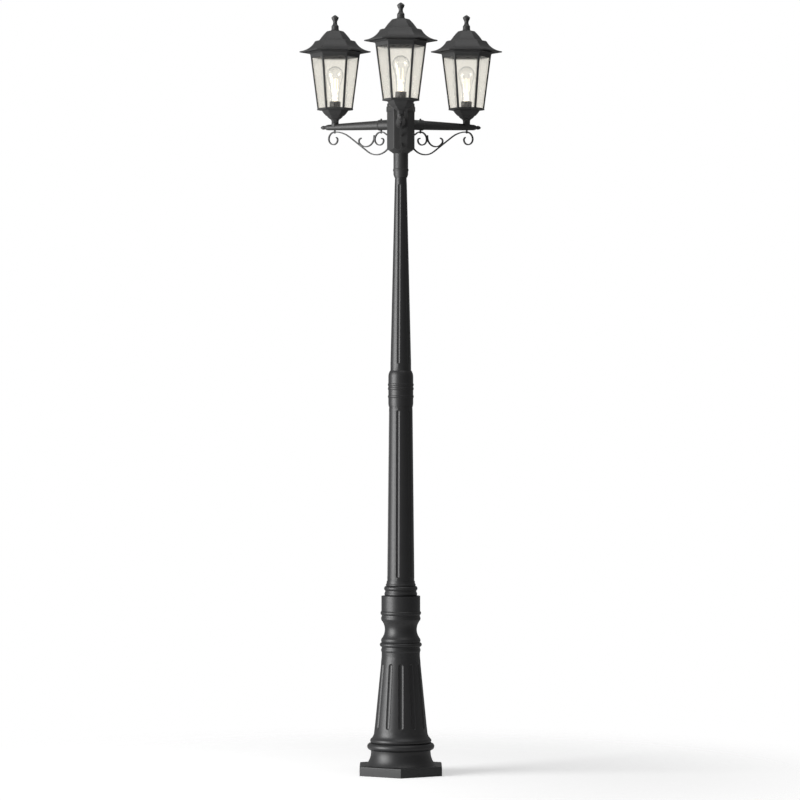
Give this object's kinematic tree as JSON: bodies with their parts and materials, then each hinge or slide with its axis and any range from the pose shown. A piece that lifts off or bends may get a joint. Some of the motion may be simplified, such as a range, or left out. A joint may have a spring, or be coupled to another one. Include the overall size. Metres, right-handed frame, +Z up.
{
  "type": "triple head lamp post",
  "caption": "Cast garden lamp post with a fluted column on a hexagonal foot, and hexagonal glazed lanterns on scroll-bracketed arms.",
  "frame": {"origin": "centre of the foot's underside, in the plane that stands on the ground, on the circle's centre of the anchor holes", "axes": "+Z up along the post, -Y towards the front lantern"},
  "size_m": [0.6144, 0.532, 2.2885],
  "materials": {
    "powder_coat_smooth": "satin black powder coat",
    "powder_coat_textured": "fine-textured black powder coat",
    "coated_steel": "fine-textured black powder coat",
    "zinc_steel": "zinc plated",
    "black_screws": "black zinc",
    "textured_glass": "clear with faint upright ripples",
    "bulb_glass": "clear",
    "bulb_core": "frosted glass and coated filament rods",
    "cap_metal": "nickel plated",
    "holder_plastic": "moulded thermoset",
    "block_plastic": "moulded",
    "wire_sheath": "matt"
  },
  "bodies": {
    "post": {"base_casting": "powder_coat_smooth", "pedestal_casting": "powder_coat_smooth", "lower_shaft": "powder_coat_smooth", "joint_collar": "powder_coat_smooth", "upper_shaft": "powder_coat_smooth", "head_socket": "powder_coat_textured", "hub": "powder_coat_textured", "hub_cap": "powder_coat_textured", "front_arm": "powder_coat_textured", "front_arm_collar": "powder_coat_textured", "front_arm_finial": "powder_coat_textured", "front_bowl": "powder_coat_textured", "front_cage": "powder_coat_textured", "front_scroll": "coated_steel", "front_panes": "textured_glass", "front_lampholder": "holder_plastic", "front_bulb_cap": "cap_metal", "front_bulb_globe": "bulb_glass", "front_bulb_stem": "bulb_core", "front_lamp_wire": "wire_sheath", "right_arm": "powder_coat_textured", "right_arm_collar": "powder_coat_textured", "right_arm_finial": "powder_coat_textured", "right_bowl": "powder_coat_textured", "right_cage": "powder_coat_textured", "right_scroll": "coated_steel", "right_panes": "textured_glass", "right_lampholder": "holder_plastic", "right_bulb_cap": "cap_metal", "right_bulb_globe": "bulb_glass", "right_bulb_stem": "bulb_core", "right_lamp_wire": "wire_sheath", "left_arm": "powder_coat_textured", "left_arm_collar": "powder_coat_textured", "left_arm_finial": "powder_coat_textured", "left_bowl": "powder_coat_textured", "left_cage": "powder_coat_textured", "left_scroll": "coated_steel", "left_panes": "textured_glass", "left_lampholder": "holder_plastic", "left_bulb_cap": "cap_metal", "left_bulb_globe": "bulb_glass", "left_bulb_stem": "bulb_core", "left_lamp_wire": "wire_sheath", "tie_rod": "zinc_steel", "tie_rod_nuts": "zinc_steel", "crossbar": "zinc_steel", "arm_lock_nuts": "zinc_steel", "lantern_nipples": "zinc_steel", "nipple_nuts": "zinc_steel", "cage_screws": "zinc_steel", "scroll_screws": "black_screws", "roof_screws": "black_screws", "terminal_block": "block_plastic"},
    "front_roof_body": {"front_roof": "powder_coat_textured", "front_finial": "powder_coat_textured"},
    "right_roof_body": {"right_roof": "powder_coat_textured", "right_finial": "powder_coat_textured"},
    "left_roof_body": {"left_roof": "powder_coat_textured", "left_finial": "powder_coat_textured"}
  },
  "joints": [
    {"name": "front_roof_lift", "type": "slide", "parent": "post", "child": "front_roof_body", "axis": [0, 0, 1], "range_m": [0, 0.1]},
    {"name": "right_roof_lift", "type": "slide", "parent": "post", "child": "right_roof_body", "axis": [0, 0, 1], "range_m": [0, 0.1]},
    {"name": "left_roof_lift", "type": "slide", "parent": "post", "child": "left_roof_body", "axis": [0, 0, 1], "range_m": [0, 0.1]}
  ]
}
